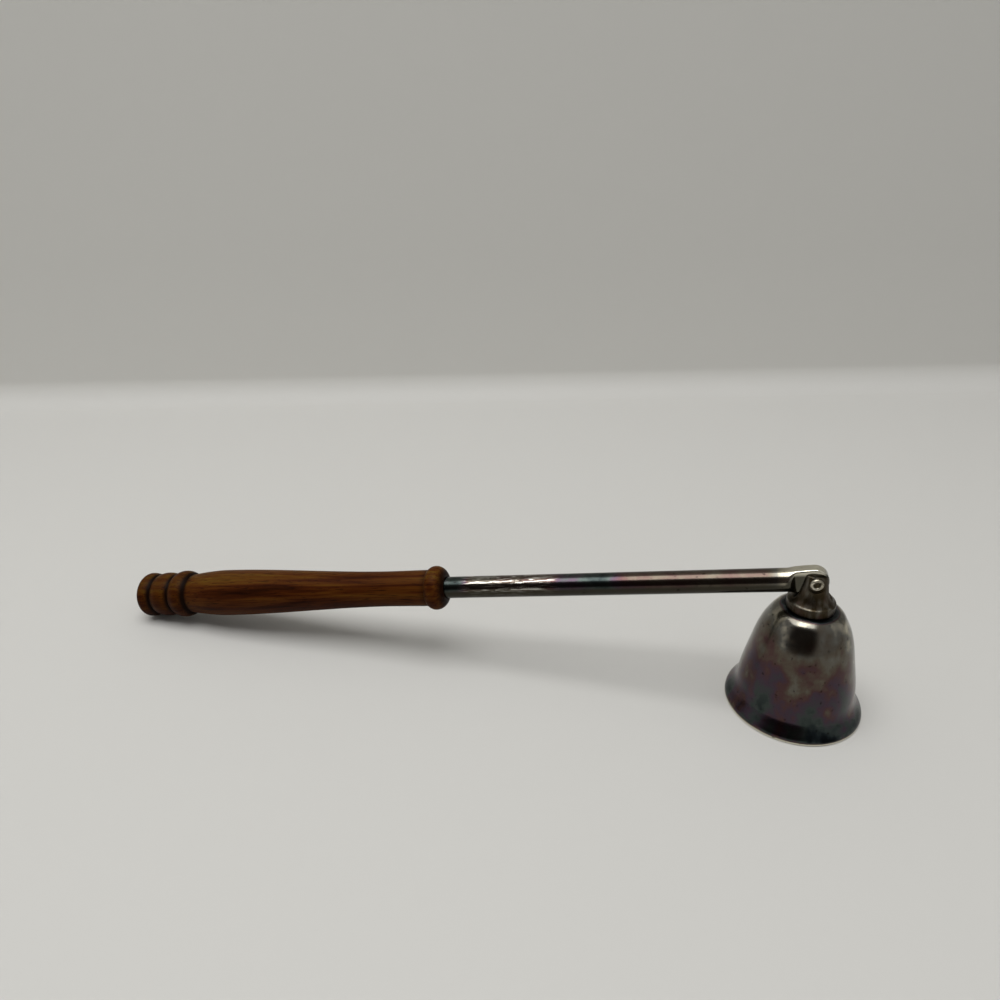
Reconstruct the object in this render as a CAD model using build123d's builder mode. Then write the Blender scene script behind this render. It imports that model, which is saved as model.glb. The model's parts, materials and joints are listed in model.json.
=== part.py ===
"""Candle snuffer: a bell hung on a riveted hinge at the end of a tube with a turned wood handle.

It lies as it is put down: the bell stands on its mouth and the end bead of the handle
rests on the same surface. The origin is on that surface, under the middle of the whole.
"""

import os
from math import asin, atan2, cos, degrees, hypot, pi, sin

from build123d import *

# Bell, spun from sheet with a flared lip
bell_height = 39.8
bell_mouth_radius = 22.8
bell_top_radius = 7.1
bell_shoulder_radius = 11.9
bell_shoulder_drop = 2.8
bell_wall = 0.9
bell_lip_round = 0.35
# From lip to shoulder, each point: share of the shoulder's height, share of the mouth's radius
bell_outline_shares = [
    (0.04, 0.994),
    (0.095, 0.938),
    (0.165, 0.872),
    (0.27, 0.843),
    (0.43, 0.801),
    (0.59, 0.747),
    (0.75, 0.690),
    (0.89, 0.615),
]

# Hinge cap, turned with a flat rim and a flared neck, and slotted from the top into two ears
cap_radius = 7.65
cap_rim_height = 3.1
cap_rim_bevel = 0.3
cap_flare_radius = 7.2
cap_flare_height = 4.6
cap_neck_radius = 4.9
cap_top_radius = 4.05
cap_top_round = 0.4
pivot_rise = 10.7
ear_rise = 2.5
ear_seat_radius = 2.75
ear_seat_half_span = 3.7

# Shaft, a tube pressed flat to a solid tongue at the hinge
shaft_radius = 3.97
shaft_wall = 0.8
shaft_reach = 127.4
shaft_depth_in_handle = 38.0
tongue_half_height = 4.45
tongue_half_thickness = 2.1
tongue_edge_round = 0.7
tongue_overhang = 4.0
tongue_corner_round = 3.0
tongue_level_station = 0.8
tongue_flat_length = 5.8
pinch_length = 8.8
# Steps of the tongue's rise and of the pinch, from the tongue towards the tube
rise_shares = [0, 0.35, 0.7, 1]
pinch_shares = [0, 0.25, 0.5, 0.75, 1]
# The pinch runs just inside the tongue's end and the tube's, where it is nearly round itself
pinch_inset = 0.06
round_corner_share = 0.98

# Handle, turned from one length of hardwood: front bead, waist, swell and three end beads
front_land = 0.6
front_bead_radius = 8.15
front_bead_crest = 4.1
front_bead_length = 7.0
body_length = 103.9
body_start_radius = 6.75
waist_radius = 6.63
waist_share = 0.136
swell_radius = 9.13
swell_share = 0.848
neck_radius = 7.78
neck_slope_share = 0.14
inner_bead_radius = 9.45
inner_bead_length = 8.1
inner_groove_radius = 7.75
middle_bead_radius = 8.9
middle_bead_length = 8.9
outer_groove_radius = 7.8
end_bead_radius = 8.95
end_bead_crest = 3.9
end_bead_shoulder = 2.0
end_face_radius = 6.9
end_dome_rise = 2.1
# Where a bead's crest lies between its two grooves
bead_crest_share = 0.53

# Rivet through ears and tongue: a low head behind, a rolled end in front
rivet_radius = 1.6
rivet_head_radius = 2.6
rivet_head_height = 1.2
rivet_roll_radius = 2.3
rivet_roll_height = 0.9
rivet_hollow_radius = 1.05
rivet_hollow_depth = 2.6

# Screw and washer inside the bell, which hold the cap on
screw_radius = 2.0
screw_grip_in_cap = 3.7
screw_head_radius = 3.4
screw_head_height = 2.4
screw_head_round = 1.2
screw_slot_width = 1.0
screw_slot_depth = 1.1
washer_radius = 4.6
washer_thickness = 0.8

# Clearances
pivot_clearance = 0.05
slot_side_clearance = 0.12
slot_floor_clearance = 1.9
rivet_fit = 0.03
handle_fit = 0.04
handle_bore_spare = 0.3
screw_clearance = 0.15
thread_fit = 0.03
cut_overrun = 1.0

# Stations along the shaft's axis, from the hinge axis towards the handle's end
pivot_height = bell_height + pivot_rise
front_station = shaft_reach
front_crest_station = front_station + front_bead_crest
body_station = front_station + front_bead_length
waist_station = body_station + waist_share * body_length
swell_station = body_station + swell_share * body_length
neck_station = body_station + body_length
inner_groove_station = neck_station + inner_bead_length
outer_groove_station = inner_groove_station + middle_bead_length
end_crest_station = outer_groove_station + end_bead_crest
end_shoulder_station = end_crest_station + end_bead_shoulder
end_station = end_shoulder_station + end_dome_rise

# The outer side of the end bead is an arc level at the crest, and touches the surface
end_bead_drop = end_bead_radius - end_face_radius
end_bead_arc = (end_bead_shoulder**2 + end_bead_drop**2) / (2 * end_bead_drop)
end_arc_height = end_bead_radius - end_bead_arc
lie_angle = asin((pivot_height - end_bead_arc) / hypot(end_crest_station, end_arc_height)) - atan2(
    end_arc_height, end_crest_station
)

# The dome of the end face is the handle's furthest point, and the origin halves the whole length
end_dome_radius = (end_face_radius**2 + end_dome_rise**2) / (2 * end_dome_rise)
handle_reach = (end_station - end_dome_radius) * cos(lie_angle) + end_dome_radius
pivot_x = (handle_reach - bell_mouth_radius) / 2

# Planes and axes
pivot_point = Vector(pivot_x, 0, pivot_height)
shaft_direction = Vector(-cos(lie_angle), 0, -sin(lie_angle))
across = Vector(0, 1, 0)
shaft_profile_plane = Plane(origin=pivot_point, x_dir=shaft_direction, z_dir=across)
shaft_cross_plane = Plane(origin=pivot_point, x_dir=-across, z_dir=shaft_direction)
shaft_axis = Axis(pivot_point, shaft_direction)
pivot_axis = Axis(pivot_point, across)
bell_profile_plane = Plane(origin=(pivot_x, 0, 0), x_dir=(1, 0, 0), z_dir=(0, -1, 0))
bell_axis = Axis((pivot_x, 0, 0), (0, 0, 1))
pivot_plane = Plane(origin=pivot_point, x_dir=(1, 0, 0), z_dir=(0, -1, 0))
rivet_profile_plane = Plane(origin=pivot_point, x_dir=across, z_dir=(1, 0, 0))

# Sizes that follow from the fits
slot_half_width = tongue_half_thickness + slot_side_clearance
slot_floor_height = pivot_height - tongue_half_height - slot_floor_clearance
cap_rim_top = bell_height + cap_rim_height
cap_neck_height = cap_rim_top + cap_flare_height
ear_top = pivot_height + ear_rise
bell_ceiling = bell_height - bell_wall
washer_bottom = bell_ceiling - washer_thickness
screw_head_bottom = washer_bottom - screw_head_height
screw_tip = bell_height + screw_grip_in_cap
shaft_tail_station = shaft_reach + shaft_depth_in_handle


def ease(share):
    """Height of a smooth step from 0 to 1, level at both ends."""
    held = min(max(share, 0), 1)
    return held * held * (3 - 2 * held)


def half_height_at(station):
    """Half height of the shaft's end at a station, from the level tongue to the tube."""
    spread = ease((pinch_length - station) / (pinch_length - tongue_level_station))
    return shaft_radius + spread * (tongue_half_height - shaft_radius)


def pinched_section(station):
    """Section of the pressed tube, an oblong at the tongue with rounder corners towards the tube."""
    squeeze = ease((pinch_length - station) / (pinch_length - tongue_flat_length))
    half_thickness = shaft_radius + squeeze * (tongue_half_thickness - shaft_radius)
    widest_round = round_corner_share * (shaft_radius - pinch_inset)
    corner_round = widest_round + squeeze * (tongue_edge_round - widest_round)
    with BuildSketch(shaft_cross_plane.offset(station)) as section:
        RectangleRounded(
            2 * (half_thickness - pinch_inset),
            2 * (half_height_at(station) - pinch_inset),
            corner_round,
        )
    return section.sketch


# Shaft
with BuildPart() as shaft:
    corner_station = tongue_corner_round - tongue_overhang
    corner_height = tongue_half_height - tongue_corner_round
    rise_length = tongue_flat_length - tongue_level_station
    rise_stations = [tongue_level_station + share * rise_length for share in rise_shares]
    with BuildSketch(shaft_profile_plane):
        with BuildLine():
            Spline(*[(station, half_height_at(station)) for station in rise_stations])
            Line((tongue_level_station, tongue_half_height), (corner_station, tongue_half_height))
            RadiusArc(
                (corner_station, tongue_half_height),
                (-tongue_overhang, corner_height),
                -tongue_corner_round,
            )
            Line((-tongue_overhang, corner_height), (-tongue_overhang, 0))
            Line((tongue_flat_length, half_height_at(tongue_flat_length)), (tongue_flat_length, 0))
            mirror(about=Plane.XZ)
        make_face()
    extrude(amount=tongue_half_thickness, both=True)
    tongue_rims = shaft.faces().filter_by(Axis.Y).edges().sort_by(shaft_axis)[:-2]
    fillet(tongue_rims, radius=tongue_edge_round)
    pinch_run = pinch_length - tongue_flat_length
    loft([pinched_section(tongue_flat_length + share * pinch_run) for share in pinch_shares])
    with BuildSketch(shaft_cross_plane.offset(pinch_length)):
        Circle(shaft_radius)
    extrude(amount=shaft_tail_station - pinch_length)
    with BuildSketch(shaft_cross_plane.offset(pinch_length + shaft_wall)):
        Circle(shaft_radius - shaft_wall)
    extrude(amount=shaft_tail_station - pinch_length, mode=Mode.SUBTRACT)
    with BuildSketch(pivot_plane):
        Circle(rivet_radius + pivot_clearance)
    extrude(amount=shaft_radius, both=True, mode=Mode.SUBTRACT)
shaft.part.label = "shaft"

# Handle
with BuildPart() as handle:
    bore_radius = shaft_radius + handle_fit
    front_edge = (front_station, bore_radius + front_land)
    front_crest = (front_crest_station, front_bead_radius)
    body_start = (body_station, body_start_radius)
    waist = (waist_station, waist_radius)
    swell = (swell_station, swell_radius)
    neck = (neck_station, neck_radius)
    inner_crest = (neck_station + bead_crest_share * inner_bead_length, inner_bead_radius)
    inner_groove = (inner_groove_station, inner_groove_radius)
    middle_crest = (
        inner_groove_station + bead_crest_share * middle_bead_length,
        middle_bead_radius,
    )
    outer_groove = (outer_groove_station, outer_groove_radius)
    end_crest = (end_crest_station, end_bead_radius)
    end_shoulder = (end_shoulder_station, end_face_radius)
    waist_third = (swell_station - waist_station) / 3
    neck_third = (neck_station - swell_station) / 3
    with BuildSketch(shaft_profile_plane):
        with BuildLine():
            TangentArc(front_crest, front_edge, tangent=(-1, 0))
            TangentArc(front_crest, body_start, tangent=(1, 0))
            Line(body_start, waist)
            Bezier(
                waist,
                (waist_station + waist_third, waist_radius),
                (swell_station - waist_third, swell_radius),
                swell,
            )
            Bezier(
                swell,
                (swell_station + neck_third, swell_radius),
                (neck_station - neck_third, neck_radius + neck_slope_share * neck_third),
                neck,
            )
            for crest, left, right in (
                (inner_crest, neck, inner_groove),
                (middle_crest, inner_groove, outer_groove),
                (end_crest, outer_groove, end_shoulder),
            ):
                TangentArc(crest, left, tangent=(-1, 0))
                TangentArc(crest, right, tangent=(1, 0))
            RadiusArc(end_shoulder, (end_station, 0), end_dome_radius)
            Polyline(
                (end_station, 0),
                (shaft_tail_station + handle_bore_spare, 0),
                (shaft_tail_station + handle_bore_spare, bore_radius),
                (front_station, bore_radius),
                front_edge,
            )
        make_face()
    revolve(axis=shaft_axis)
handle.part.label = "handle"

# Hinge cap
with BuildPart() as hinge_cap:
    neck_top = (cap_neck_radius, cap_neck_height)
    taper = (cap_neck_radius - cap_top_radius, cap_neck_height - ear_top)
    with BuildSketch(bell_profile_plane):
        with BuildLine():
            TangentArc(neck_top, (cap_flare_radius, cap_rim_top), tangent=taper)
            Polyline(
                (cap_flare_radius, cap_rim_top),
                (cap_radius - cap_rim_bevel, cap_rim_top),
                (cap_radius, cap_rim_top - cap_rim_bevel),
                (cap_radius, bell_height),
                (0, bell_height),
                (0, ear_top),
                (cap_top_radius, ear_top),
                neck_top,
            )
        make_face()
    revolve(axis=bell_axis)
    fillet(hinge_cap.edges().sort_by(Axis.Z)[-1], radius=cap_top_round)
    with BuildSketch(bell_profile_plane):
        with Locations((0, slot_floor_height)):
            Rectangle(
                2 * (cap_radius + cut_overrun),
                pivot_rise,
                align=(Align.CENTER, Align.MIN),
            )
    extrude(amount=slot_half_width, both=True, mode=Mode.SUBTRACT)
    with BuildSketch(pivot_plane):
        Circle(rivet_radius + rivet_fit)
    extrude(amount=cap_radius, both=True, mode=Mode.SUBTRACT)
    for side in (1, -1):
        with BuildSketch(pivot_plane.offset(side * ear_seat_half_span)):
            Circle(ear_seat_radius)
        extrude(amount=side * cap_radius, mode=Mode.SUBTRACT)
    with BuildSketch(Plane.XY.offset(bell_height)):
        with Locations((pivot_x, 0)):
            Circle(screw_radius + thread_fit)
    extrude(amount=screw_grip_in_cap + thread_fit, mode=Mode.SUBTRACT)
hinge_cap.part.label = "hinge_cap"

# Rivet, turned about the hinge axis: local x runs across, from the front ear to the back one
with BuildPart() as hinge_rivet:
    head_face = ear_seat_half_span
    head_top = head_face + rivet_head_height
    roll_face = -ear_seat_half_span
    hollow_floor = roll_face - rivet_roll_height + rivet_hollow_depth
    with BuildSketch(rivet_profile_plane):
        with BuildLine():
            Line((hollow_floor, 0), (head_top, 0))
            ThreePointArc(
                (head_top, 0),
                (head_face + rivet_head_height * cos(pi / 4), rivet_head_radius * sin(pi / 4)),
                (head_face, rivet_head_radius),
            )
            Polyline(
                (head_face, rivet_head_radius),
                (head_face, rivet_radius),
                (roll_face, rivet_radius),
                (roll_face, rivet_roll_radius),
            )
            roll_top = (
                roll_face - rivet_roll_height,
                (rivet_roll_radius + rivet_hollow_radius) / 2,
            )
            ThreePointArc(
                (roll_face, rivet_roll_radius),
                roll_top,
                (roll_face, rivet_hollow_radius),
            )
            Polyline(
                (roll_face, rivet_hollow_radius),
                (hollow_floor, rivet_hollow_radius),
                (hollow_floor, 0),
            )
        make_face()
    revolve(axis=pivot_axis)
hinge_rivet.part.label = "hinge_rivet"

# Bell
with BuildPart() as bell:
    shoulder_height = bell_height - bell_shoulder_drop
    outline = [(bell_mouth_radius, 0)]
    for height_share, radius_share in bell_outline_shares:
        outline.append((radius_share * bell_mouth_radius, height_share * shoulder_height))
    outline.append((bell_shoulder_radius, shoulder_height))
    with BuildSketch(bell_profile_plane):
        with BuildLine():
            shoulder = TangentArc((bell_top_radius, bell_height), outline[-1], tangent=(1, 0))
            Spline(*outline, tangents=[(0, 1), -(shoulder % 1)], tangent_scalars=[1, 1])
            Polyline((bell_top_radius, bell_height), (0, bell_height), (0, 0), outline[0])
        make_face()
    revolve(axis=bell_axis)
    mouth = bell.faces().sort_by(Axis.Z)[0]
    offset(amount=-bell_wall, openings=mouth)
    lip = bell.faces().sort_by(Axis.Z)[0].edges().sort_by(SortBy.LENGTH)[-1]
    fillet(lip, radius=bell_lip_round)
    with BuildSketch(Plane.XY.offset(bell_height)):
        with Locations((pivot_x, 0)):
            Circle(screw_radius + screw_clearance)
    extrude(amount=-bell_wall - cut_overrun, mode=Mode.SUBTRACT)
bell.part.label = "bell"

# Washer under the bell's ceiling
with BuildPart() as bell_washer:
    with BuildSketch(Plane.XY.offset(washer_bottom)):
        with Locations((pivot_x, 0)):
            Circle(washer_radius)
            Circle(screw_radius + screw_clearance, mode=Mode.SUBTRACT)
    extrude(amount=washer_thickness)
bell_washer.part.label = "bell_washer"

# Screw, driven up through washer and bell into the cap
with BuildPart() as bell_screw:
    with BuildSketch(Plane.XY.offset(screw_head_bottom)):
        with Locations((pivot_x, 0)):
            Circle(screw_head_radius)
    extrude(amount=screw_head_height)
    fillet(bell_screw.edges().sort_by(Axis.Z)[0], radius=screw_head_round)
    with BuildSketch(Plane.XY.offset(washer_bottom)):
        with Locations((pivot_x, 0)):
            Circle(screw_radius)
    extrude(amount=screw_tip - washer_bottom)
    with BuildSketch(Plane.XY.offset(screw_head_bottom)):
        with Locations((pivot_x, 0)):
            Rectangle(2 * (screw_head_radius + cut_overrun), screw_slot_width)
    extrude(amount=screw_slot_depth, mode=Mode.SUBTRACT)
bell_screw.part.label = "bell_screw"

os.makedirs("parts", exist_ok=True)
for piece in (handle, shaft, hinge_cap, hinge_rivet, bell, bell_washer, bell_screw):
    export_step(piece.part, f"parts/{piece.part.label}.step")

print("pivot at", round(pivot_x, 4), 0, round(pivot_height, 4))
print("lie angle", round(degrees(lie_angle), 4))
print("length", round(handle_reach + bell_mouth_radius, 3))
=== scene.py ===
"""Candle snuffer on a pale board: turned wood handle, tarnished tube shaft, hinged bell.

Lengths are in millimetres times MM, and the points and radii of an outline are in millimetres until
metres() scales them. The shaft and the handle are described by their station, the distance along
the shaft's axis from the hinge pin towards the handle's end.
"""

import json
from math import asin, atan2, cos, exp, hypot, pi, radians, sin, sqrt

import bmesh
import bpy
from mathutils import Matrix, Vector, noise


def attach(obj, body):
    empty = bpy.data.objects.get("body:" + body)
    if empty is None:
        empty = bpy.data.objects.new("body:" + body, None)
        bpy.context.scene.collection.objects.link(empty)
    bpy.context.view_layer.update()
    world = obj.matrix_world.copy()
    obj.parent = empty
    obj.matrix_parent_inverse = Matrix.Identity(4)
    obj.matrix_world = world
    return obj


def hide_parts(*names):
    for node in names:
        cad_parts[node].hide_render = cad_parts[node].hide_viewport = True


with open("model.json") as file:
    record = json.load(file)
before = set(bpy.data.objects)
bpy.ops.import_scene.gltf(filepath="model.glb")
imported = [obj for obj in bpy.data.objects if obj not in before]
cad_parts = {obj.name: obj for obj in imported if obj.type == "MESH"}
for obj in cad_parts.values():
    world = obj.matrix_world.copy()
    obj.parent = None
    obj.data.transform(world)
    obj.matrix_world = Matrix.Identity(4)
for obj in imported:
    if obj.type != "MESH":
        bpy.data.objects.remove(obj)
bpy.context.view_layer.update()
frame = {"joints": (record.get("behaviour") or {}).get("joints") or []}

MM = 0.001
X, Y, Z = Vector((1, 0, 0)), Vector((0, 1, 0)), Vector((0, 0, 1))

# Camera, as it stood for the photograph
CAMERA_PLACE = Vector((68.737, -222.705, 186.238)) * MM
CAMERA_RIGHT = Vector((0.97291012, 0.23049266, -0.01786148))
CAMERA_UP = Vector((-0.0896652, 0.44743089, 0.8898122))
LENS = 27.07

# Room light
DARK_SIDE = Vector((-0.223, -0.877, 0.423))
LAMP_PLACE = Vector((-0.2, -0.18, 1.5))
LAMP_AIM = Vector((-0.2, 0, 0))

# Hinge
PIVOT = Vector(frame["joints"][0]["pos_m"])
RIVET_SPAN = 3.7 * MM

# Shaft: a tube pressed to a flat tongue at the hinge
TUBE_RADIUS = 3.97 * MM
TUBE_WALL = 0.8 * MM
TONGUE_HALF_HEIGHT = 4.45 * MM
TONGUE_HALF_THICKNESS = 2.1 * MM
TONGUE_EDGE = 0.7 * MM
TONGUE_OVERHANG = 4.0 * MM
TONGUE_CORNER = 4.3 * MM
TONGUE_LEVEL = 0.8 * MM
TONGUE_FLAT = 5.8 * MM
CORNER_STATION = TONGUE_CORNER - TONGUE_OVERHANG
PINCH_END = 8.8 * MM
TAIL = 165.4 * MM
PIN_HOLE = 1.65 * MM

# Handle, turned from one length of wood: station and radius of each crest and groove
BORE = 4.01
BORE_END = 165.7
FRONT_EDGE = (127.4, 4.61)
FRONT_CREST = (131.5, 8.15)
BODY_START = (134.4, 6.75)
WAIST = (148.53, 6.63)
SWELL = (222.51, 9.13)
NECK = (238.3, 7.78)
NECK_SLOPE = 0.14
FIRST_GROOVE = (246.4, 7.75)
SECOND_GROOVE = (255.3, 7.8)
END_CREST = (259.2, 8.95)
END_SHOULDER = (261.2, 6.9)
END_FACE = 263.3
BEADS = (
    ((242.59, 9.45), NECK, FIRST_GROOVE),
    ((251.12, 8.9), FIRST_GROOVE, SECOND_GROOVE),
    (END_CREST, SECOND_GROOVE, END_SHOULDER),
)

# Painted shade in the handle's grooves, as station and depth of colour, and a darkening over its
# end
GROOVE_SHADE = ((127.6, 0.9), (134.6, 0.45), (238.6, 1), (246.4, 1), (255.3, 1))
GROOVE_SHADE_SPREAD = 1.2
END_DARKENING = 0.2
END_DARKENING_RANGE = (234, 240)

# Hinge cap: height and radius of points up its outside, then its slot, rivet seats and screw hole
CAP_FOOT = ((39.8, 0), (39.8, 7.65), (42.6, 7.65), (42.9, 7.35))
CAP_FLARE = (42.9, 7.2)
CAP_NECK = (47.5, 4.9)
CAP_NECK_TOP = (53.0, 4.05)
CAP_TOP = ((52.6, 4.1), (52.85, 3.98), (53.0, 3.7), (53.0, 0))
SLOT_DEPTH = 1.9 * MM
SLOT_PLAY = 0.12 * MM
CAP_PIN_HOLE = 1.63 * MM
RIVET_SEAT = 2.75 * MM
CAP_SCREW_HOLE = 2.03 * MM
CAP_SCREW_END = 43.53 * MM
CAP_GRAIN = 0.13 * MM

# Rivet: radii, and heights above the ears
RIVET_RADIUS = 1.6
RIVET_HOLLOW = 1.05
HOLLOW_DEPTH = 1.7
ROLL_RADIUS = 2.3
ROLL_HEIGHT = 0.9
HEAD_RADIUS = 2.6
HEAD_HEIGHT = 1.2

# Bell: radius and height of points up its outside, from the lip to the shoulder
BELL_OUTLINE = (
    (22.8, 0.0),
    (22.663, 1.48),
    (21.386, 3.515),
    (19.882, 6.105),
    (19.22, 9.99),
    (18.263, 15.91),
    (17.032, 21.83),
    (15.732, 27.75),
    (14.022, 32.93),
    (11.9, 37.0),
)
BELL_TOP = (7.1, 39.8)
BELL_FLAT = 5
BELL_WALL = 0.9
BELL_DENT = 0.07
LIP_RADIUS = 0.45
LIP_MIDDLE = (22.35, 0.45)
LIP_JOIN = 0.7
SCREW_HOLE = 2.15

# Washer and screw inside the bell: height and radius of the points of their outlines
WASHER = ((38.1, 2.15), (38.1, 4.45), (38.25, 4.6), (38.9, 4.6), (38.9, 2.15), (38.1, 2.15))
SCREW_HEAD_ROUND = 1.2
SCREW_HEAD_EDGE = (36.9, 2.2)
SCREW_ROD = ((38.1, 3.4), (38.1, 2.0), (43.2, 2.0), (43.5, 1.7), (43.5, 0))
SCREW_SLOT_HALF = 0.5 * MM
SCREW_SLOT_END = 36.8 * MM

# Stage, in metres
WALL_DISTANCE = 0.535
WALL_BEND = 0.018
BOARD_STEP = 0.25


def colour(code):
    """An sRGB hex colour as the linear value that a socket takes."""
    shares = [int(code[at : at + 2], 16) / 255 for at in (1, 3, 5)]
    linear = [s / 12.92 if s <= 0.04045 else ((s + 0.055) / 1.055) ** 2.4 for s in shares]
    return (*linear, 1)


def per(size):
    """Texture scale that gives features of this size in millimetres."""
    return 1 / (size * MM)


def add(tree, kind, feeds=None, stops=None, **settings):
    """Adds a node with its own settings, its sockets' links or values, and a ramp's stops."""
    node = tree.nodes.new("ShaderNode" + kind)
    for name, value in settings.items():
        setattr(node, name, value)
    for socket, value in (feeds or {}).items():
        if isinstance(value, bpy.types.NodeSocket):
            tree.links.new(value, node.inputs[socket])
        else:
            node.inputs[socket].default_value = value
    if stops:
        ramp = node.color_ramp.elements
        while len(ramp) < len(stops):
            ramp.new(0.5)
        for stop, (place, shade) in zip(ramp, stops):
            stop.position = place
            stop.color = shade if isinstance(shade, tuple) else (shade, shade, shade, 1)
    return node


def new_material(name, place=Matrix()):
    """An empty material, its node tree, and the coordinates of a piece in its own place."""
    material = bpy.data.materials.new(name)
    material.use_nodes = True
    tree = material.node_tree
    tree.nodes.clear()
    spot = add(tree, "TexCoord").outputs["Object"]
    frame_of_piece = {"Vector": spot, "Location": place.translation, "Rotation": place.to_euler()}
    own = add(tree, "Mapping", frame_of_piece, vector_type="TEXTURE")
    return material, tree, own.outputs[0]


# Shapes


def metres(outline):
    """The points of an outline, from millimetres to metres."""
    return [(along * MM, radius * MM) for along, radius in outline]


def arc_radius(run, drop):
    """Radius of an arc that starts out level and drops by this much over this run."""
    return (run * run + drop * drop) / (2 * drop)


def crest_arc(crest, end, count=12):
    """Arc of a bead's side, level at the crest, from the crest to the end."""
    run, drop = end[0] - crest[0], crest[1] - end[1]
    arc = arc_radius(run, drop)
    sweep = atan2(abs(run), arc - drop)
    way = 1 if run > 0 else -1
    turns = [sweep * step / count for step in range(count + 1)]
    return [(crest[0] + way * arc * sin(t), crest[1] - arc + arc * cos(t)) for t in turns]


def cubic(first, second, third, fourth, count=24):
    """Smooth curve from the first point to the fourth, drawn towards the two between them."""
    points = []
    for step in range(count + 1):
        t = step / count
        weights = ((1 - t) ** 3, 3 * t * (1 - t) ** 2, 3 * t * t * (1 - t), t**3)
        ends = (first, second, third, fourth)
        points.append(tuple(sum(w * p[i] for w, p in zip(weights, ends)) for i in (0, 1)))
    return points


def even_curve(points, start_way, end_way, count=10):
    """Curve of even bend through the points, leaving and arriving in the given directions."""
    spots = [Vector(p) for p in points]
    gaps = [(b - a).length for a, b in zip(spots, spots[1:])]
    ways = [Vector(start_way).normalized()] + [Vector((0, 0))] * (len(spots) - 2)
    ways.append(Vector(end_way).normalized())
    for _ in range(60):
        for i in range(1, len(spots) - 1):
            before, after = gaps[i - 1], gaps[i]
            pull = after / before * (spots[i] - spots[i - 1])
            pull = 3 * (pull + before / after * (spots[i + 1] - spots[i]))
            rest = pull - after * ways[i - 1] - before * ways[i + 1]
            ways[i] = rest / (2 * (before + after))
    curve = [spots[0]]
    for i, gap in enumerate(gaps):
        for step in range(1, count + 1):
            t = step / count
            spot = (2 * t**3 - 3 * t**2 + 1) * spots[i] + (t**3 - 2 * t**2 + t) * gap * ways[i]
            spot += (3 * t**2 - 2 * t**3) * spots[i + 1] + (t**3 - t**2) * gap * ways[i + 1]
            curve.append(spot)
    return curve


def turned(name, outline, axis, start, segments=96, form=None):
    """Object turned on a lathe from an outline of (along the axis, radius) in metres."""
    body = bmesh.new()
    side = axis.cross(start)
    rings = []
    for along, radius in outline:
        ring = []
        for step in range(segments if radius > 0 else 1):
            turn = 2 * pi * step / segments
            spot = axis * along + (start * cos(turn) + side * sin(turn)) * radius
            ring.append(body.verts.new(form(spot) if form else spot))
        rings.append(ring)
    if outline[0] == outline[-1]:
        for spare in rings[-1]:
            body.verts.remove(spare)
        rings[-1] = rings[0]
    for ring, following in zip(rings, rings[1:]):
        for step in range(segments):
            after = (step + 1) % segments
            corners = (ring[step % len(ring)], ring[after % len(ring)])
            corners += (following[after % len(following)], following[step % len(following)])
            body.faces.new(dict.fromkeys(corners))
    return solid(name, body)


def solid(name, body):
    """Object of a finished bmesh, with smooth faces and crisp edges."""
    bmesh.ops.remove_doubles(body, verts=body.verts, dist=0.002 * MM)
    bmesh.ops.recalc_face_normals(body, faces=body.faces)
    mesh = bpy.data.meshes.new(name)
    body.to_mesh(mesh)
    body.free()
    piece = bpy.data.objects.new(name, mesh)
    bpy.context.scene.collection.objects.link(piece)
    polish(piece)
    return piece


def polish(piece, crease=38):
    """Smooth shading, but for edges sharper than the crease."""
    piece.data.polygons.foreach_set("use_smooth", [True] * len(piece.data.polygons))
    piece.data.set_sharp_from_angle(angle=radians(crease))


def settle(piece):
    """Turns a piece's modifiers into its mesh."""
    graph = bpy.context.evaluated_depsgraph_get()
    finished = bpy.data.meshes.new_from_object(piece.evaluated_get(graph))
    piece.modifiers.clear()
    piece.data = finished


def cut(piece, *tools):
    """Cuts the tools' shapes out of a piece and throws the tools away."""
    for tool in tools:
        step = piece.modifiers.new("cut", "BOOLEAN")
        step.operation = "DIFFERENCE"
        step.solver = "EXACT"
        step.object = tool
    settle(piece)
    for tool in tools:
        bpy.data.objects.remove(tool)


def mill(low, high):
    """A cutting block between two corners."""
    body = bmesh.new()
    place = Matrix.Translation((low + high) / 2) @ Matrix.Diagonal((*(high - low), 1))
    bmesh.ops.create_cube(body, size=1, matrix=place)
    return solid("mill", body)


def drill(start, end, radius):
    """A cutting rod between two points."""
    way = (end - start).normalized()
    side = way.orthogonal().normalized()
    depth = (end - start).length
    rod = turned("drill", [(0, 0), (0, radius), (depth, radius), (depth, 0)], way, side, 48)
    rod.data.transform(Matrix.Translation(start))
    return rod


def fit(piece, place, body, node, material):
    """Puts a finished piece in place of its node."""
    piece.data.transform(place)
    piece.data.materials.clear()
    piece.data.materials.append(material)
    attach(piece, body)
    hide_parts(node)


def ease(share):
    """Smooth step from 0 to 1, level at both ends."""
    held = min(max(share, 0), 1)
    return held * held * (3 - 2 * held)


# Places: the shaft's own frame runs from the hinge along its axis, and the bell's stands under it
END_ARC = arc_radius(END_SHOULDER[0] - END_CREST[0], END_CREST[1] - END_SHOULDER[1]) * MM
END_ARC_STATION, END_ARC_HEIGHT = END_CREST[0] * MM, END_CREST[1] * MM - END_ARC
LIE = asin((PIVOT.z - END_ARC) / hypot(END_ARC_STATION, END_ARC_HEIGHT))
LIE -= atan2(END_ARC_HEIGHT, END_ARC_STATION)
SHAFT_WAY = Vector((-cos(LIE), 0, -sin(LIE)))
SHAFT_RISE = Vector((-sin(LIE), 0, cos(LIE)))
SHAFT_PLACE = Matrix.Translation(PIVOT) @ Matrix((SHAFT_WAY, -Y, SHAFT_RISE)).transposed().to_4x4()
BELL_PLACE = Matrix.Translation((PIVOT.x, 0, 0))
PIVOT_PLACE = Matrix.Translation(PIVOT)


# Pieces


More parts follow.
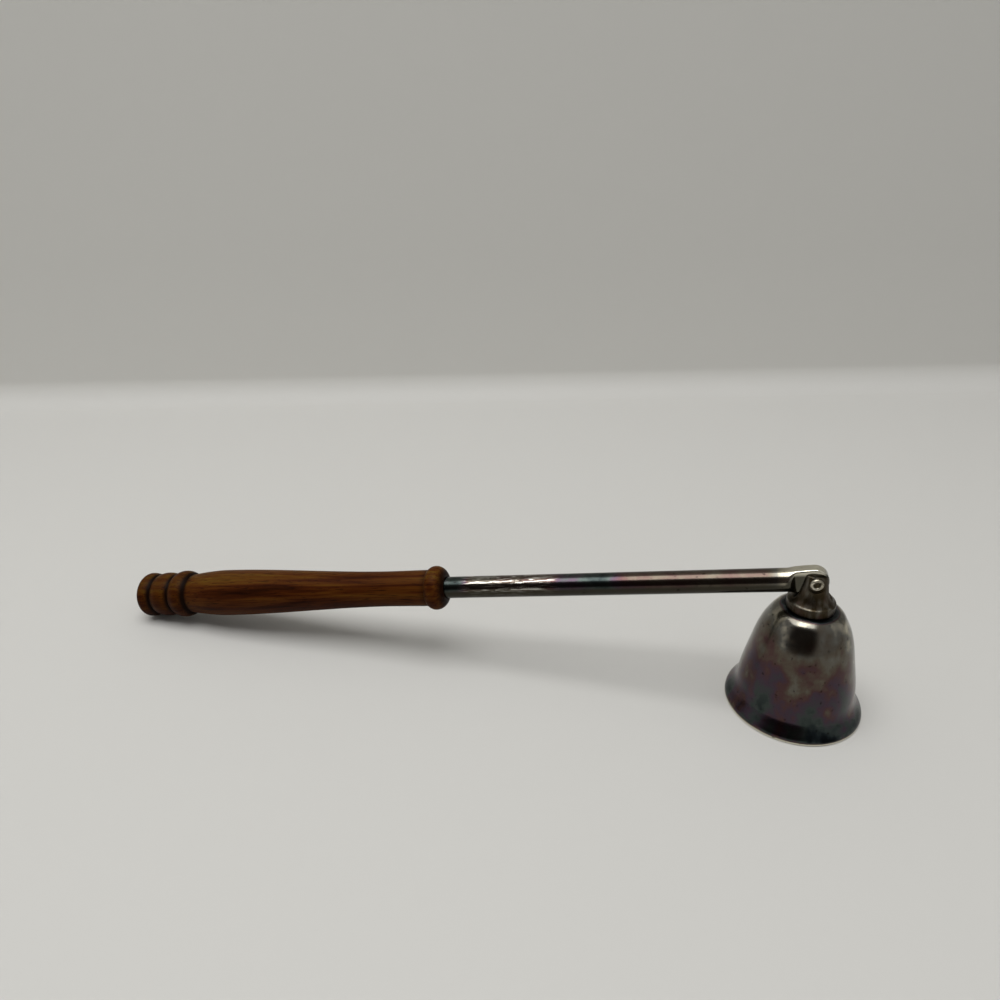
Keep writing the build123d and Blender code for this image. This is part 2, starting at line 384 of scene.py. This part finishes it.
def make_handle(material):
    """Handle: front bead, waist, swell, three end beads and a domed end, bored for the shaft."""
    outline = [(BORE_END, 0), (BORE_END, BORE), (FRONT_EDGE[0], BORE)]
    outline += crest_arc(FRONT_CREST, FRONT_EDGE)[::-1]
    outline += crest_arc(FRONT_CREST, BODY_START)[1:]
    start, waist = Vector(BODY_START), Vector(WAIST)
    outline += [tuple(start.lerp(waist, step / 16)) for step in range(1, 16)]
    third = (SWELL[0] - WAIST[0]) / 3
    outline += cubic(WAIST, (WAIST[0] + third, WAIST[1]), (SWELL[0] - third, SWELL[1]), SWELL, 40)
    third = (NECK[0] - SWELL[0]) / 3
    slope = NECK[1] + NECK_SLOPE * third
    outline += cubic(SWELL, (SWELL[0] + third, SWELL[1]), (NECK[0] - third, slope), NECK)[1:]
    for crest, left, right in BEADS:
        outline += crest_arc(crest, left)[-2::-1]
        outline += crest_arc(crest, right)[1:]
    rise = END_FACE - END_SHOULDER[0]
    dome = arc_radius(END_SHOULDER[1], rise)
    reach = asin(END_SHOULDER[1] / dome)
    for step in range(1, 12):
        turn = reach * (1 - step / 12)
        outline.append((END_FACE - dome + dome * cos(turn), dome * sin(turn)))
    outline.append((END_FACE, 0))
    handle = turned("handle_wood", metres(outline), X, Z, 128)
    # Painted shade in the grooves, and the darkening over the end, as a share at each point
    groove_shade_end_dark = handle.data.attributes.new("groove_shade_end_dark", "FLOAT", "POINT")
    depths = []
    dark_start, dark_end = END_DARKENING_RANGE
    for spot in handle.data.vertices:
        station = spot.co.x / MM
        depth = END_DARKENING * ease((station - dark_start) / (dark_end - dark_start))
        for groove, darkening in GROOVE_SHADE:
            depth += darkening * exp(-(((station - groove) / GROOVE_SHADE_SPREAD) ** 2))
        depths.append(min(depth, 1))
    groove_shade_end_dark.data.foreach_set("value", depths)
    fit(handle, SHAFT_PLACE, "grip", "handle", material)


def tube_ring(station):
    """Section of the shaft at a station, as points across and up, from the tongue to the tube."""
    squeeze = ease((PINCH_END - station) / (PINCH_END - TONGUE_FLAT))
    spread = ease((PINCH_END - station) / (PINCH_END - TONGUE_LEVEL))
    half = TUBE_RADIUS + squeeze * (TONGUE_HALF_THICKNESS - TUBE_RADIUS)
    height = TUBE_RADIUS + spread * (TONGUE_HALF_HEIGHT - TUBE_RADIUS)
    edge = TUBE_RADIUS - 0.01 * MM + squeeze * (TONGUE_EDGE - TUBE_RADIUS)
    quarter = []
    for step in range(17):
        turn = pi / 2 * step / 16
        inset = min(edge * (1 - cos(turn)), TONGUE_OVERHANG + station)
        across = half - edge + sqrt(max(edge**2 - (edge - inset) ** 2, 0))
        up = height - inset
        if station < CORNER_STATION:
            bend = (TONGUE_CORNER - inset) ** 2 - (CORNER_STATION - station) ** 2
            up = height - TONGUE_CORNER + sqrt(max(bend, 0))
        quarter.append((across, up))
    ring = quarter + [(a, -u) for a, u in quarter[::-1]]
    return ring + [(-a, u) for a, u in ring[::-1]]


def make_shaft(material):
    """Shaft: a tube whose end is pressed to a flat, drilled tongue."""
    stations = [-TONGUE_OVERHANG + TONGUE_EDGE * (1 - cos(radians(a))) for a in range(0, 91, 10)]
    stations += [(0.2 * step - 3.0) * MM for step in range(16)]
    stations += [CORNER_STATION + (PINCH_END - CORNER_STATION) * step / 60 for step in range(61)]
    stations += [PINCH_END + (TAIL - PINCH_END) * step / 40 for step in range(1, 41)]
    body = bmesh.new()
    rings = []
    for station in stations:
        rings.append([body.verts.new((station, a, u)) for a, u in tube_ring(station)])
    for ring, following in zip(rings, rings[1:]):
        for at in range(len(ring)):
            after = (at + 1) % len(ring)
            body.faces.new((ring[at], ring[after], following[after], following[at]))
    body.faces.new(rings[0])
    body.faces.new(rings[-1])
    shaft = solid("shaft_tube", body)
    bore_start = Vector((PINCH_END + TUBE_WALL, 0, 0))
    bore_tool = drill(bore_start, Vector((TAIL + MM, 0, 0)), TUBE_RADIUS - TUBE_WALL)
    pin_tool = drill(Y * -5 * MM, Y * 5 * MM, PIN_HOLE)
    cut(shaft, bore_tool, pin_tool)
    polish(shaft)
    fit(shaft, SHAFT_PLACE, "grip", "shaft", material)


def make_cap(material):
    """Hinge cap: flat rim and flared neck, slotted into two ears, with its edges worn soft."""
    start = Vector(CAP_NECK[::-1])
    way = (start - Vector(CAP_NECK_TOP[::-1])).normalized()
    side = Vector((-way.y, way.x))
    chord = Vector(CAP_FLARE[::-1]) - start
    arc = chord.length_squared / (2 * chord.dot(side))
    sweep = 2 * asin(chord.length / (2 * arc))
    outline = [*CAP_FOOT, CAP_FLARE]
    for step in range(15, -1, -1):
        turn = sweep * step / 16
        spot = start + side * arc * (1 - cos(turn)) + way * arc * sin(turn)
        outline.append((spot.y, spot.x))
    outline += CAP_TOP
    cap = turned("hinge_cap_body", metres(outline), Z, X, 160)
    floor = PIVOT.z - TONGUE_HALF_HEIGHT - SLOT_DEPTH
    half = TONGUE_HALF_THICKNESS + SLOT_PLAY
    reach = 9 * MM
    tools = [mill(Vector((-reach, -half, floor)), Vector((reach, half, floor + 14 * MM)))]
    pivot_up = Z * PIVOT.z
    tools.append(drill(pivot_up - Y * reach, pivot_up + Y * reach, CAP_PIN_HOLE))
    for out in (-Y, Y):
        seat = pivot_up + out * RIVET_SPAN
        tools.append(drill(seat, seat + out * reach, RIVET_SEAT))
    tools.append(drill(Z * 39 * MM, Z * CAP_SCREW_END, CAP_SCREW_HOLE))
    cut(cap, *tools)
    grain = cap.modifiers.new("even", "REMESH")
    grain.mode = "VOXEL"
    grain.voxel_size = CAP_GRAIN
    wear = cap.modifiers.new("wear", "SMOOTH")
    wear.factor = 0.5
    wear.iterations = 5
    settle(cap)
    polish(cap, 80)
    fit(cap, BELL_PLACE, "bell_unit", "hinge_cap", material)


def rolled(spot):
    """The rivet's rolled end is fuller on its left and top, as a hand-struck roll is."""
    if spot.y > -RIVET_SPAN + 0.05 * MM:
        return spot
    radius = hypot(spot.x, spot.z)
    turn = atan2(spot.z, spot.x)
    fuller = 0.5 + 0.5 * cos(turn - radians(150))
    lift = (-RIVET_SPAN - spot.y) * (0.45 + 0.55 * fuller)
    inner = RIVET_HOLLOW * MM
    grown = inner + (radius - inner) * (0.82 + 0.18 * fuller)
    scale = grown / radius if radius > inner else 1
    return Vector((spot.x * scale, -RIVET_SPAN - lift, spot.z * scale))


def make_rivet(material):
    """Rivet through the ears: a low domed head behind and an uneven rolled end in front."""
    face = RIVET_SPAN / MM
    bottom = face - HOLLOW_DEPTH
    outline = [(bottom, 0), (bottom, RIVET_HOLLOW), (face, RIVET_HOLLOW)]
    middle, width = (ROLL_RADIUS + RIVET_HOLLOW) / 2, (ROLL_RADIUS - RIVET_HOLLOW) / 2
    for step in range(1, 16):
        turn = pi * step / 16
        outline.append((face + ROLL_HEIGHT * sin(turn), middle - width * cos(turn)))
    outline += [(face, ROLL_RADIUS), (face, RIVET_RADIUS)]
    outline += [(-face, RIVET_RADIUS), (-face, HEAD_RADIUS)]
    for step in range(1, 10):
        turn = pi / 2 * step / 10
        outline.append((-face - HEAD_HEIGHT * sin(turn), HEAD_RADIUS * cos(turn)))
    outline.append((-face - HEAD_HEIGHT, 0))
    rivet = turned("hinge_rivet_pin", metres(outline), -Y, X, 64, rolled)
    fit(rivet, PIVOT_PLACE, "bell_unit", "hinge_rivet", material)


def spun(spot):
    """Small uneven dents of a spun sheet, 9 and 4 mm wide, all inward and clear of the screw."""
    radius = hypot(spot.x, spot.y)
    if radius < 4 * MM:
        return spot
    dent = 0.5 + 0.5 * noise.noise(Vector(spot) * per(9))
    dent += 0.4 * (0.5 + 0.5 * noise.noise(Vector(spot) * per(4) + X * 7))
    scale = 1 - BELL_DENT * MM * dent / 1.4 / radius
    return Vector((spot.x * scale, spot.y * scale, spot.z))


def make_bell(material):
    """Bell: spun sheet with a flared lip, open below, with a hole for the screw on top."""
    run, drop = BELL_OUTLINE[-1][0] - BELL_TOP[0], BELL_TOP[1] - BELL_OUTLINE[-1][1]
    arc = arc_radius(run, drop)
    sweep = atan2(run, arc - drop)
    outer = even_curve(BELL_OUTLINE, (0, 1), (-cos(sweep), sin(sweep)))
    for step in range(1, 13):
        turn = sweep * (1 - step / 12)
        outer.append(Vector((BELL_TOP[0] + arc * sin(turn), BELL_TOP[1] - arc + arc * cos(turn))))
    outer += [Vector((radius, BELL_TOP[1])) for radius in (BELL_FLAT, SCREW_HOLE)]
    inner = []
    for at, spot in enumerate(outer):
        before, after = outer[max(at - 1, 0)], outer[min(at + 1, len(outer) - 1)]
        way = (after - before).normalized()
        inner.append(spot + Vector((-way.y, way.x)) * BELL_WALL)
    inner[-1] = Vector((SCREW_HOLE, BELL_TOP[1] - BELL_WALL))
    turns = [pi * step / 8 for step in range(9)]
    lip = [Vector(LIP_MIDDLE) - LIP_RADIUS * Vector((cos(turn), sin(turn))) for turn in turns]
    outline = [spot for spot in inner[::-1] if spot.y > LIP_JOIN] + lip
    outline += [spot for spot in outer if spot.y > LIP_JOIN]
    outline.append(outline[0])
    bell = turned("bell_shell", metres([spot.yx for spot in outline]), Z, X, 192, spun)
    polish(bell, 60)
    fit(bell, BELL_PLACE, "bell_unit", "bell", material)


def make_fixings(brass, steel):
    """Washer and slotted screw inside the bell."""
    washer = turned("bell_washer_ring", metres(WASHER), Z, X, 64)
    fit(washer, BELL_PLACE, "bell_unit", "bell_washer", brass)
    height, radius = SCREW_HEAD_EDGE
    outline = [(height - SCREW_HEAD_ROUND, 0)]
    for step in range(9):
        turn = pi / 2 * step / 8
        bulge = SCREW_HEAD_ROUND * Vector((cos(turn), sin(turn)))
        outline.append((height - bulge.x, radius + bulge.y))
    outline += SCREW_ROD
    screw = turned("bell_screw_body", metres(outline), Z, X, 64)
    half, reach = SCREW_SLOT_HALF, 5 * MM
    cut(screw, mill(Vector((-reach, -half, 35 * MM)), Vector((reach, half, SCREW_SLOT_END))))
    polish(screw)
    fit(screw, BELL_PLACE, "bell_unit", "bell_screw", steel)


# Materials


def turned_hardwood():
    """Hardwood, turned, stained red brown and oiled: long streaks and pores along the handle."""
    material, tree, own = new_material("turned_hardwood_oiled", SHAFT_PLACE)
    # Streaks about 1.4 mm wide and 60 mm long
    long_way = add(tree, "Mapping", {"Vector": own, "Scale": (per(60), per(1.4), per(1.4))})
    streaks = add(tree, "TexNoise", {"Vector": long_way.outputs[0], "Scale": 1, "Detail": 4})
    # Broad bands of darker wood, 7 mm wide
    broad_scale = {"Scale": (per(75), per(7), per(7)), "Location": (0.4, 0.3, 0.9)}
    broad_way = add(tree, "Mapping", {"Vector": own, **broad_scale})
    broad = add(tree, "TexNoise", {"Vector": broad_way.outputs[0], "Scale": 1, "Detail": 2})
    # Pores are 0.1 mm wide on the real wood, drawn 0.3 mm wide and 6 mm long to show
    pore_way = add(tree, "Mapping", {"Vector": own, "Scale": (per(6), per(0.3), per(0.3))})
    pores = add(tree, "TexNoise", {"Vector": pore_way.outputs[0], "Scale": 1, "Detail": 1})
    both = {"Factor": 0.45, "A": streaks.outputs[0], "B": broad.outputs[0]}
    mixed = add(tree, "Mix", both, data_type="FLOAT")
    # Painted light and shade: the top is painted lighter and towards olive, and the underside
    # darker
    apart = add(tree, "SeparateXYZ", {"Vector": own})
    height = {"Value": apart.outputs["Z"], "From Min": -8 * MM, "From Max": 8 * MM}
    painted_height_shade = add(tree, "MapRange", {**height, "To Min": -0.08, "To Max": 0.05})
    lighter = add(tree, "Math", {0: mixed.outputs[0], 1: painted_height_shade.outputs[0]})
    # One dark streak of heartwood along the front of the swell, 72 mm long and 5 mm wide
    half_long, half_wide = 36, 2.5
    middle = (-207 / half_long, 0, -4.6 / half_wide)
    heart_scale = {"Scale": (per(half_long), 1, per(half_wide)), "Location": middle}
    heart_way = add(tree, "Mapping", {"Vector": own, **heart_scale})
    along_and_up = {0: heart_way.outputs[0], 1: (1, 0, 1)}
    flat_way = add(tree, "VectorMath", along_and_up, operation="MULTIPLY")
    away = add(tree, "VectorMath", {0: flat_way.outputs[0]}, operation="LENGTH")
    near_heart = {"Value": away.outputs["Value"], "From Min": 0.2, "From Max": 1.1}
    heart = add(tree, "MapRange", {**near_heart, "To Min": -0.23, "To Max": 0})
    figure = add(tree, "Math", {0: lighter.outputs[0], 1: heart.outputs[0]})
    wood_stops = [
        (0.29, colour("#1C0801")),
        (0.42, colour("#3A1804")),
        (0.52, colour("#4D2A09")),
        (0.67, colour("#5C4112")),
    ]
    wood = add(tree, "ValToRGB", {"Fac": figure.outputs[0]}, wood_stops)
    pore_mask = add(tree, "ValToRGB", {"Fac": pores.outputs[0]}, [(0.60, 0.0), (0.70, 0.9)])
    dark_pores = {"Factor": pore_mask.outputs[0], 6: wood.outputs[0], 7: colour("#1C0A03")}
    pored = add(tree, "Mix", dark_pores, data_type="RGBA")
    # Painted shade darkens the grooves, and the end beads are darker too
    groove_shade_end_dark = add(tree, "Attribute", attribute_name="groove_shade_end_dark")
    darkening = {"Factor": groove_shade_end_dark.outputs["Fac"], 6: pored.outputs[2], 7: colour("#120602")}
    grooved = add(tree, "Mix", darkening, data_type="RGBA")
    open_grain = {"Height": pores.outputs[0], "Strength": 0.12, "Distance": 0.1 * MM}
    relief = add(tree, "Bump", open_grain)
    surface = {
        "Base Color": grooved.outputs[2],
        "Roughness": 0.45,
        "Specular IOR Level": 0.035,
        "Normal": relief.outputs[0],
    }
    finish = add(tree, "BsdfPrincipled", surface)
    add(tree, "OutputMaterial", {"Surface": finish.outputs[0]})
    return material


# Tarnish: colour of the film as it thickens
FILM_STOPS = [
    (0.0, colour("#D6D1C0")),
    (0.05, colour("#A09988")),
    (0.12, colour("#66645D")),
    (0.22, colour("#585046")),
    (0.33, colour("#4E3938")),
    (0.44, colour("#463944")),
    (0.6, colour("#3E4542")),
    (0.78, colour("#202628")),
    (1.0, colour("#101214")),
]

# Thickness of the film over a share of each piece: along the shaft from the tongue, up the bell
# from the lip, up the cap, and on the rivet; and where the shaft is rubbed
SHAFT_FILM = [
    (0.0, 0.0),
    (0.08, 0.01),
    (0.11, 0.05),
    (0.15, 0.22),
    (0.3, 0.25),
    (0.38, 0.3),
    (0.5, 0.34),
    (0.56, 0.58),
    (0.66, 0.52),
    (0.72, 0.22),
    (0.93, 0.22),
    (0.955, 0.6),
    (1.0, 0.68),
]
RUBBED = [(0.67, 0.0), (0.73, 1.0), (0.92, 1.0), (0.96, 0.0)]
BELL_FILM = [
    (0.0, 0.0),
    (0.02, 0.0),
    (0.035, 0.42),
    (0.15, 0.3),
    (0.4, 0.24),
    (0.7, 0.17),
    (0.9, 0.1),
    (0.985, 0.1),
    (1.0, 0.9),
]
CAP_FILM = [(0.0, 0.2), (0.19, 0.2), (0.21, 0.11), (0.24, 0.11), (0.27, 0.2), (1.0, 0.16)]
RIVET_FILM = [(0.0, 0.04), (1.0, 0.04)]


def silver_plate(name, place, along, reach, profile, patch, spread, streak, **looks):
    """Silver plate, buffed and then tarnished: a film that goes from grey through straw, rose and
    violet to blue black as it thickens, with black spots and fine scratches.

    The profile gives the film's thickness over the reach, in millimetres along one axis. Patches
    and streaks of these sizes make it uneven by the spread. The looks that a piece may add are a
    thicker film in front that paints a dark reflection there, a brown stain, rubbed flecks, a
    dark underside that is painted shade, and a rougher surface.
    """
    material, tree, own = new_material(name, place)
    apart = add(tree, "SeparateXYZ", {"Vector": own})
    reach_of = {"From Min": reach[0] * MM, "From Max": reach[1] * MM}
    share = add(tree, "MapRange", {"Value": apart.outputs[along], **reach_of})
    base = add(tree, "ValToRGB", {"Fac": share.outputs[0]}, profile)
    blot = {"Vector": own, "Scale": per(patch), "Detail": 4, "Roughness": 0.5}
    patches = add(tree, "TexNoise", blot)
    streak_way = add(tree, "Mapping", {"Vector": own, "Scale": tuple(map(per, streak))})
    streaks = add(tree, "TexNoise", {"Vector": streak_way.outputs[0], "Scale": 1, "Detail": 3})
    both = {"Factor": 0.2, "A": patches.outputs[0], "B": streaks.outputs[0]}
    mottled = add(tree, "Mix", both, data_type="FLOAT")
    wide = {"Value": mottled.outputs[0], "From Min": 0.35, "From Max": 0.65}
    least, most = 1 - 0.8 * spread, 1 + spread
    uneven = add(tree, "MapRange", {**wide, "To Min": least, "To Max": most})
    # Painted reflection: the film is made thicker towards the camera's side, which paints the metal
    # there darker, as a dark reflection
    facing = {"Value": apart.outputs["Y"], "From Min": -2 * MM, "From Max": -15 * MM}
    thicker = add(tree, "MapRange", {**facing, "To Max": looks.get("front", 0)})
    times = add(tree, "Math", {0: uneven.outputs[0], 1: thicker.outputs[0]})
    uneven_film = {0: base.outputs[0], 1: times.outputs[0]}
    film = add(tree, "Math", uneven_film, operation="MULTIPLY", use_clamp=True)
    tint = add(tree, "ValToRGB", {"Fac": film.outputs[0]}, FILM_STOPS).outputs[0]
    if "stain" in looks:
        # Old brown dirt, rubbed through in streaks
        darkening = add(tree, "ValToRGB", {"Fac": streaks.outputs[0]}, [(0.42, 0.92), (0.66, 0.25)])
        browned = {"Factor": darkening.outputs[0], 6: tint, 7: colour(looks["stain"])}
        tint = add(tree, "Mix", browned, data_type="RGBA").outputs[2]
    if "rubbed" in looks:
        # Rubbed bright in flecks 5 mm long where the hand takes hold
        fleck_scale = {"Scale": (per(5), per(0.5), per(0.5))}
        fleck_way = add(tree, "Mapping", {"Vector": own, **fleck_scale})
        flecks = add(tree, "TexNoise", {"Vector": fleck_way.outputs[0], "Scale": 1, "Detail": 2})
        held = add(tree, "ValToRGB", {"Fac": share.outputs[0]}, looks["rubbed"])
        fleck_mask = add(tree, "ValToRGB", {"Fac": flecks.outputs[0]}, [(0.52, 0.0), (0.62, 0.9)])
        bright = {0: held.outputs[0], 1: fleck_mask.outputs[0]}
        bright_share = add(tree, "Math", bright, operation="MULTIPLY", use_clamp=True)
        shone = {"Factor": bright_share.outputs[0], 6: tint, 7: colour("#D0CDC4")}
        tint = add(tree, "Mix", shone, data_type="RGBA").outputs[2]
    if "under" in looks:
        # Painted shade: the underside is painted dark, and so are the tongue's flat faces
        pressed = {"Value": share.outputs[0], "From Min": 0.085, "From Max": 0.105}
        reach_up = add(tree, "MapRange", {**pressed, "To Min": -2.2 * MM, "To Max": 0})
        level = add(tree, "Math", {0: apart.outputs["Z"], 1: reach_up.outputs[0]})
        low = {"Value": level.outputs[0], "From Min": 1.4 * MM, "From Max": -0.2 * MM}
        under_shade = add(tree, "MapRange", {**low, "To Max": 0.93}, interpolation_type="SMOOTHSTEP")
        darkened = {"Factor": under_shade.outputs[0], 6: tint, 7: colour(looks["under"])}
        tint = add(tree, "Mix", darkened, data_type="RGBA").outputs[2]
    # Black spots, 0.5 to 1 mm across
    spots = add(tree, "TexNoise", {"Vector": own, "Scale": per(1.5), "Detail": 2})
    spot_mask = add(tree, "ValToRGB", {"Fac": spots.outputs[0]}, [(0.66, 0.0), (0.72, 0.7)])
    spotted = {"Factor": spot_mask.outputs[0], 6: tint, 7: colour("#17130F")}
    tint = add(tree, "Mix", spotted, data_type="RGBA").outputs[2]
    # Buffing scratches, drawn 0.3 mm wide to show
    scratches = add(tree, "TexNoise", {"Vector": own, "Scale": per(0.6), "Detail": 3})
    scratch = {"Height": scratches.outputs[0], "Strength": 0.10, "Distance": 0.05 * MM}
    relief = add(tree, "Bump", scratch)
    finest = looks.get("rough", 0.17)
    rough = add(tree, "MapRange", {"Value": film.outputs[0], "To Min": finest, "To Max": 0.26})
    surface = {
        "Base Color": tint,
        "Metallic": 1.0,
        "Roughness": rough.outputs[0],
        "Normal": relief.outputs[0],
    }
    finish = add(tree, "BsdfPrincipled", surface)
    add(tree, "OutputMaterial", {"Surface": finish.outputs[0]})
    return material


def bare_metal(name, shade, rough):
    """Stamped or turned metal, left bare: a soft shine with faint uneven dulling over it."""
    material, tree, own = new_material(name)
    dulling = add(tree, "TexNoise", {"Vector": own, "Scale": per(2), "Detail": 3})
    stops = [(0.3, colour("#4A4338")), (0.6, colour(shade))]
    tint = add(tree, "ValToRGB", {"Fac": dulling.outputs[0]}, stops)
    surface = {"Base Color": tint.outputs[0], "Metallic": 1.0, "Roughness": rough}
    finish = add(tree, "BsdfPrincipled", surface)
    add(tree, "OutputMaterial", {"Surface": finish.outputs[0]})
    return material


def pale_board():
    """Painted board, rolled matt, under and behind the snuffer: a pale grey, with painted light
    where it turns up.
    """
    material, tree, own = new_material("pale_board")
    # Painted light: a little paler where it turns up than where it lies flat, as light thrown back
    # from the floor into the bend
    apart = add(tree, "SeparateXYZ", {"Vector": own})
    height = add(tree, "MapRange", {"Value": apart.outputs["Z"], "From Max": 0.25})
    stops = [
        (0.0, colour("#C6C5C1")),
        (0.06, colour("#DAD9D4")),
        (0.4, colour("#D3D2CD")),
        (1.0, colour("#CFCEC9")),
    ]
    tint = add(tree, "ValToRGB", {"Fac": height.outputs[0]}, stops)
    surface = {"Base Color": tint.outputs[0], "Roughness": 0.6, "Specular IOR Level": 0.2}
    finish = add(tree, "BsdfPrincipled", surface)
    add(tree, "OutputMaterial", {"Surface": finish.outputs[0]})
    return material


# Stage, light and camera


def make_stage():
    """Floor that curves up into a back wall, square to the camera."""
    ahead = CAMERA_UP.cross(CAMERA_RIGHT)
    ahead = Vector((ahead.x, ahead.y, 0)).normalized()
    side = Vector((ahead.y, -ahead.x, 0))
    foot = Vector((CAMERA_PLACE.x, CAMERA_PLACE.y, 0)) + ahead * WALL_DISTANCE
    outline = [(-2.0, 0), (-1.0, 0), (-0.6, 0), (-0.3, 0)]
    for step in range(17):
        turn = pi / 2 * step / 16
        outline.append((WALL_BEND * (sin(turn) - 1), WALL_BEND * (1 - cos(turn))))
    outline += [(0, 0.3), (0, 0.7), (0, 1.2)]
    body = bmesh.new()
    rows = []
    for away, up in outline:
        spots = [foot + ahead * away + side * BOARD_STEP * at + Z * up for at in range(-8, 9)]
        rows.append([body.verts.new(spot) for spot in spots])
    for row, following in zip(rows, rows[1:]):
        for at in range(len(row) - 1):
            body.faces.new((row[at], row[at + 1], following[at + 1], following[at]))
    stage = solid("pale_board_sweep", body)
    stage.data.materials.append(pale_board())


def make_lamp(name, place, aim, width, height, power):
    """A level rectangular lamp that points at a spot."""
    lamp = bpy.data.lights.new(name, "AREA")
    lamp.shape = "RECTANGLE"
    lamp.size = width
    lamp.size_y = height
    lamp.energy = power
    holder = bpy.data.objects.new(name, lamp)
    holder.location = place
    holder.rotation_euler = (place - aim).to_track_quat("Z", "Y").to_euler()
    bpy.context.scene.collection.objects.link(holder)


def make_room():
    """Room light: even all round, but for a dark shape on the camera's side that metal shows."""
    world = bpy.data.worlds.new("room")
    world.use_nodes = True
    tree = world.node_tree
    tree.nodes.clear()
    way = add(tree, "TexCoord").outputs["Generated"]
    apart = add(tree, "SeparateXYZ", {"Vector": way})
    around = [(0.0, 0.42), (0.5, 0.48), (1.0, 0.52)]
    all_round = add(tree, "ValToRGB", {"Fac": apart.outputs["Z"]}, around)
    # Dark within 26 degrees of the dark side's middle, and fading out at 46 degrees
    toward = add(tree, "VectorMath", {0: way, 1: DARK_SIDE}, operation="DOT_PRODUCT")
    near = {"Value": toward.outputs["Value"], "From Min": 0.7, "From Max": 0.9}
    nearness = add(tree, "MapRange", near, interpolation_type="SMOOTHSTEP")
    dark = {"Factor": nearness.outputs[0], 6: all_round.outputs[0], 7: (0.04, 0.033, 0.03, 1)}
    level = add(tree, "Mix", dark, data_type="RGBA")
    room = add(tree, "Background", {"Color": level.outputs[2], "Strength": 1.0})
    pale = add(tree, "Background", {"Color": colour("#BDBCB8"), "Strength": 1.0})
    seen = add(tree, "LightPath").outputs["Is Camera Ray"]
    both = add(tree, "MixShader", {0: seen, 1: room.outputs[0], 2: pale.outputs[0]})
    add(tree, "OutputWorld", {"Surface": both.outputs[0]})
    bpy.context.scene.world = world


def make_camera():
    """Camera at the photograph's place and angle."""
    camera = bpy.data.objects.new("camera", bpy.data.cameras.new("camera"))
    camera.data.lens = LENS
    camera.data.sensor_width = 36
    camera.data.clip_start = 0.01
    camera.data.clip_end = 20
    back = CAMERA_RIGHT.cross(CAMERA_UP)
    turn = Matrix((CAMERA_RIGHT, CAMERA_UP, back)).transposed().to_4x4()
    camera.matrix_world = Matrix.Translation(CAMERA_PLACE) @ turn
    bpy.context.scene.collection.objects.link(camera)
    bpy.context.scene.camera = camera


make_camera()
make_stage()
make_room()
make_lamp("overhead", LAMP_PLACE, LAMP_AIM, width=1.35, height=1.0, power=18)
bpy.context.scene.view_settings.view_transform = "Standard"

make_handle(turned_hardwood())
make_shaft(
    silver_plate(
        "silver_plate_tube", SHAFT_PLACE, "X", (-4, 127), SHAFT_FILM,
        # under: painted shade on the shaft's underside and on the tongue's flat faces
        patch=8, spread=0.35, streak=(12, 0.5, 0.5), under="#35332B", rubbed=RUBBED,
    )
)
make_bell(
    silver_plate(
        "silver_plate_spun", BELL_PLACE, "Z", (0, 39.8), BELL_FILM,
        # front: a thicker film on the camera's side, painting a dark reflection there
        patch=8, spread=1.0, streak=(2.5, 2.5, 9), front=0.5,
    )
)
make_cap(
    silver_plate(
        "silver_plate_turned", BELL_PLACE, "Z", (39.8, 53), CAP_FILM,
        patch=4, spread=0.5, streak=(1.8, 1.8, 9), stain="#2E2412", rough=0.4,
    )
)
make_rivet(
    silver_plate(
        "silver_plate_rivet", PIVOT_PLACE, "Y", (-5, 5), RIVET_FILM,
        patch=2, spread=0.9, streak=(0.7, 0.7, 0.7), rough=0.3,
    )
)
make_fixings(
    bare_metal("brass_stamped_bare", "#C9A865", 0.35),
    bare_metal("steel_turned_bare", "#9C9A96", 0.3),
)
